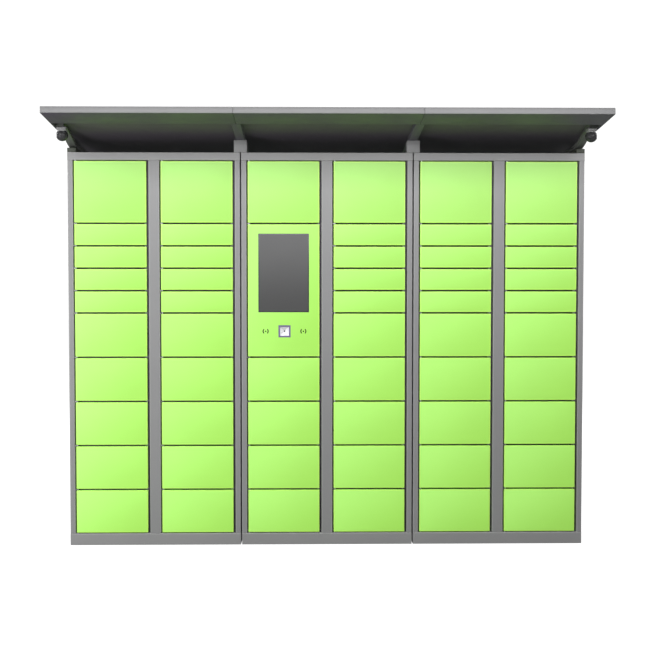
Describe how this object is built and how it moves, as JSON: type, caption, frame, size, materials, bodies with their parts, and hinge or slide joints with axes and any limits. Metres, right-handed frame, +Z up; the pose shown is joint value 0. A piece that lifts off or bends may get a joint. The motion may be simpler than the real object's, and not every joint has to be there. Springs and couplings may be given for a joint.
{
  "type": "parcel locker",
  "caption": "Outdoor parcel locker with columns of hinged steel doors in three cabinet modules, a touch-screen terminal door and a sloping canopy.",
  "frame": {"origin": "centre of the cabinets' footprint on the floor, which is the centre of the middle module's floor anchor pattern", "axes": "+Z up; +X to the right seen from the front; the doors face -Y"},
  "size_m": [2.628, 1.0228, 2.1391],
  "materials": {
    "frame_grey": "fine satin powder coat",
    "door_green": "satin powder coat, lime green",
    "galvanised": "zinc-coated sheet",
    "bright_steel": "bright zinc",
    "canopy_light": "satin powder coat, light grey",
    "canopy_dark": "matt powder coat, dark green-grey",
    "camera_shell": "semi-gloss grey",
    "black_plastic": "fine textured",
    "controller_grey": "matt",
    "screen_glass": "dark glossy glass over an unlit display",
    "scanner_frame": "satin purple-grey",
    "scanner_window": "clear scanning window"
  },
  "bodies": {
    "cabinet": {"base_frames": "galvanised", "plinth_fronts": "frame_grey", "side_panels": "frame_grey", "column_walls": "galvanised", "back_panels": "frame_grey", "top_panels": "frame_grey", "shelves": "galvanised", "front_posts": "frame_grey", "top_rails": "frame_grey", "hinge_rods": "bright_steel", "hinge_brackets": "galvanised", "lock_bodies": "black_plastic", "joining_bolts": "bright_steel", "canopy_deck": "canopy_light", "canopy_fascia": "canopy_light", "canopy_beams": "canopy_dark", "canopy_arms": "canopy_dark", "canopy_end_arms": "canopy_dark", "canopy_blocks": "canopy_light", "camera_sockets": "canopy_light", "controller_box": "controller_grey", "cable_gland": "black_plastic"},
    "camera_ball_left": {"camera_ball_left": "camera_shell"},
    "camera_ball_right": {"camera_ball_right": "camera_shell"},
    "lock_bolts_left": {"lock_bolts_left": "bright_steel"},
    "lock_bolts_middle": {"lock_bolts_middle": "bright_steel"},
    "lock_bolts_right": {"lock_bolts_right": "bright_steel"},
    "service_door": {"service_door": "door_green", "display_module": "black_plastic", "screen_glass": "screen_glass", "scanner_body": "scanner_frame", "scanner_window": "scanner_window", "loudspeakers": "black_plastic"},
    "column_3_door_1": {"column_3_door_1": "door_green"},
    "column_3_door_7": {"column_3_door_7": "door_green"},
    "column_3_door_8": {"column_3_door_8": "door_green"},
    "column_3_door_9": {"column_3_door_9": "door_green"},
    "column_3_door_10": {"column_3_door_10": "door_green"},
    "column_4_door_1": {"column_4_door_1": "door_green"},
    "column_4_door_2": {"column_4_door_2": "door_green"},
    "column_4_door_3": {"column_4_door_3": "door_green"},
    "column_4_door_4": {"column_4_door_4": "door_green"},
    "column_4_door_5": {"column_4_door_5": "door_green"},
    "column_4_door_6": {"column_4_door_6": "door_green"},
    "column_4_door_7": {"column_4_door_7": "door_green"},
    "column_4_door_8": {"column_4_door_8": "door_green"},
    "column_4_door_9": {"column_4_door_9": "door_green"},
    "column_4_door_10": {"column_4_door_10": "door_green"},
    "column_1_large_door": {"column_1_large_door": "door_green"},
    "column_1_small_doors": {"column_1_small_doors": "door_green"},
    "column_1_medium_doors": {"column_1_medium_doors": "door_green"},
    "column_2_large_door": {"column_2_large_door": "door_green"},
    "column_2_small_doors": {"column_2_small_doors": "door_green"},
    "column_2_medium_doors": {"column_2_medium_doors": "door_green"},
    "column_5_large_door": {"column_5_large_door": "door_green"},
    "column_5_small_doors": {"column_5_small_doors": "door_green"},
    "column_5_medium_doors": {"column_5_medium_doors": "door_green"},
    "column_6_large_door": {"column_6_large_door": "door_green"},
    "column_6_small_doors": {"column_6_small_doors": "door_green"},
    "column_6_medium_doors": {"column_6_medium_doors": "door_green"}
  },
  "joints": [
    {"name": "camera_left_pan", "type": "hinge", "parent": "cabinet", "child": "camera_ball_left", "pos_m": [-1.281, -0.47, 2.05019], "axis": [0, 0, 1], "range_deg": [-60, 60]},
    {"name": "camera_right_pan", "type": "hinge", "parent": "cabinet", "child": "camera_ball_right", "pos_m": [1.281, -0.47, 2.05019], "axis": [0, 0, 1], "range_deg": [-60, 60]},
    {"name": "lock_bolts_left_throw", "type": "slide", "parent": "cabinet", "child": "lock_bolts_left", "axis": [-1, 0, 0], "range_m": [0, 0.009]},
    {"name": "lock_bolts_middle_throw", "type": "slide", "parent": "cabinet", "child": "lock_bolts_middle", "axis": [-1, 0, 0], "range_m": [0, 0.009]},
    {"name": "lock_bolts_right_throw", "type": "slide", "parent": "cabinet", "child": "lock_bolts_right", "axis": [-1, 0, 0], "range_m": [0, 0.009]},
    {"name": "service_door_swing", "type": "hinge", "parent": "cabinet", "child": "service_door", "pos_m": [-0.396, -0.242, 1], "axis": [0, 0, -1], "range_deg": [0, 105]},
    {"name": "column_3_door_1_swing", "type": "hinge", "parent": "cabinet", "child": "column_3_door_1", "pos_m": [-0.396, -0.242, 1], "axis": [0, 0, -1], "range_deg": [0, 105]},
    {"name": "column_3_door_7_swing", "type": "hinge", "parent": "cabinet", "child": "column_3_door_7", "pos_m": [-0.396, -0.242, 1], "axis": [0, 0, -1], "range_deg": [0, 105]},
    {"name": "column_3_door_8_swing", "type": "hinge", "parent": "cabinet", "child": "column_3_door_8", "pos_m": [-0.396, -0.242, 1], "axis": [0, 0, -1], "range_deg": [0, 105]},
    {"name": "column_3_door_9_swing", "type": "hinge", "parent": "cabinet", "child": "column_3_door_9", "pos_m": [-0.396, -0.242, 1], "axis": [0, 0, -1], "range_deg": [0, 105]},
    {"name": "column_3_door_10_swing", "type": "hinge", "parent": "cabinet", "child": "column_3_door_10", "pos_m": [-0.396, -0.242, 1], "axis": [0, 0, -1], "range_deg": [0, 105]},
    {"name": "column_4_door_1_swing", "type": "hinge", "parent": "cabinet", "child": "column_4_door_1", "pos_m": [0.04, -0.242, 1], "axis": [0, 0, -1], "range_deg": [0, 105]},
    {"name": "column_4_door_2_swing", "type": "hinge", "parent": "cabinet", "child": "column_4_door_2", "pos_m": [0.04, -0.242, 1], "axis": [0, 0, -1], "range_deg": [0, 105]},
    {"name": "column_4_door_3_swing", "type": "hinge", "parent": "cabinet", "child": "column_4_door_3", "pos_m": [0.04, -0.242, 1], "axis": [0, 0, -1], "range_deg": [0, 105]},
    {"name": "column_4_door_4_swing", "type": "hinge", "parent": "cabinet", "child": "column_4_door_4", "pos_m": [0.04, -0.242, 1], "axis": [0, 0, -1], "range_deg": [0, 105]},
    {"name": "column_4_door_5_swing", "type": "hinge", "parent": "cabinet", "child": "column_4_door_5", "pos_m": [0.04, -0.242, 1], "axis": [0, 0, -1], "range_deg": [0, 105]},
    {"name": "column_4_door_6_swing", "type": "hinge", "parent": "cabinet", "child": "column_4_door_6", "pos_m": [0.04, -0.242, 1], "axis": [0, 0, -1], "range_deg": [0, 105]},
    {"name": "column_4_door_7_swing", "type": "hinge", "parent": "cabinet", "child": "column_4_door_7", "pos_m": [0.04, -0.242, 1], "axis": [0, 0, -1], "range_deg": [0, 105]},
    {"name": "column_4_door_8_swing", "type": "hinge", "parent": "cabinet", "child": "column_4_door_8", "pos_m": [0.04, -0.242, 1], "axis": [0, 0, -1], "range_deg": [0, 105]},
    {"name": "column_4_door_9_swing", "type": "hinge", "parent": "cabinet", "child": "column_4_door_9", "pos_m": [0.04, -0.242, 1], "axis": [0, 0, -1], "range_deg": [0, 105]},
    {"name": "column_4_door_10_swing", "type": "hinge", "parent": "cabinet", "child": "column_4_door_10", "pos_m": [0.04, -0.242, 1], "axis": [0, 0, -1], "range_deg": [0, 105]},
    {"name": "column_1_large_door_swing", "type": "hinge", "parent": "cabinet", "child": "column_1_large_door", "pos_m": [-1.272, -0.242, 1], "axis": [0, 0, -1], "range_deg": [0, 105]},
    {"name": "column_1_small_doors_swing", "type": "hinge", "parent": "cabinet", "child": "column_1_small_doors", "pos_m": [-1.272, -0.242, 1], "axis": [0, 0, -1], "range_deg": [0, 105]},
    {"name": "column_1_medium_doors_swing", "type": "hinge", "parent": "cabinet", "child": "column_1_medium_doors", "pos_m": [-1.272, -0.242, 1], "axis": [0, 0, -1], "range_deg": [0, 105]},
    {"name": "column_2_large_door_swing", "type": "hinge", "parent": "cabinet", "child": "column_2_large_door", "pos_m": [-0.836, -0.242, 1], "axis": [0, 0, -1], "range_deg": [0, 105]},
    {"name": "column_2_small_doors_swing", "type": "hinge", "parent": "cabinet", "child": "column_2_small_doors", "pos_m": [-0.836, -0.242, 1], "axis": [0, 0, -1], "range_deg": [0, 105]},
    {"name": "column_2_medium_doors_swing", "type": "hinge", "parent": "cabinet", "child": "column_2_medium_doors", "pos_m": [-0.836, -0.242, 1], "axis": [0, 0, -1], "range_deg": [0, 105]},
    {"name": "column_5_large_door_swing", "type": "hinge", "parent": "cabinet", "child": "column_5_large_door", "pos_m": [0.48, -0.242, 1], "axis": [0, 0, -1], "range_deg": [0, 105]},
    {"name": "column_5_small_doors_swing", "type": "hinge", "parent": "cabinet", "child": "column_5_small_doors", "pos_m": [0.48, -0.242, 1], "axis": [0, 0, -1], "range_deg": [0, 105]},
    {"name": "column_5_medium_doors_swing", "type": "hinge", "parent": "cabinet", "child": "column_5_medium_doors", "pos_m": [0.48, -0.242, 1], "axis": [0, 0, -1], "range_deg": [0, 105]},
    {"name": "column_6_large_door_swing", "type": "hinge", "parent": "cabinet", "child": "column_6_large_door", "pos_m": [0.916, -0.242, 1], "axis": [0, 0, -1], "range_deg": [0, 105]},
    {"name": "column_6_small_doors_swing", "type": "hinge", "parent": "cabinet", "child": "column_6_small_doors", "pos_m": [0.916, -0.242, 1], "axis": [0, 0, -1], "range_deg": [0, 105]},
    {"name": "column_6_medium_doors_swing", "type": "hinge", "parent": "cabinet", "child": "column_6_medium_doors", "pos_m": [0.916, -0.242, 1], "axis": [0, 0, -1], "range_deg": [0, 105]}
  ]
}
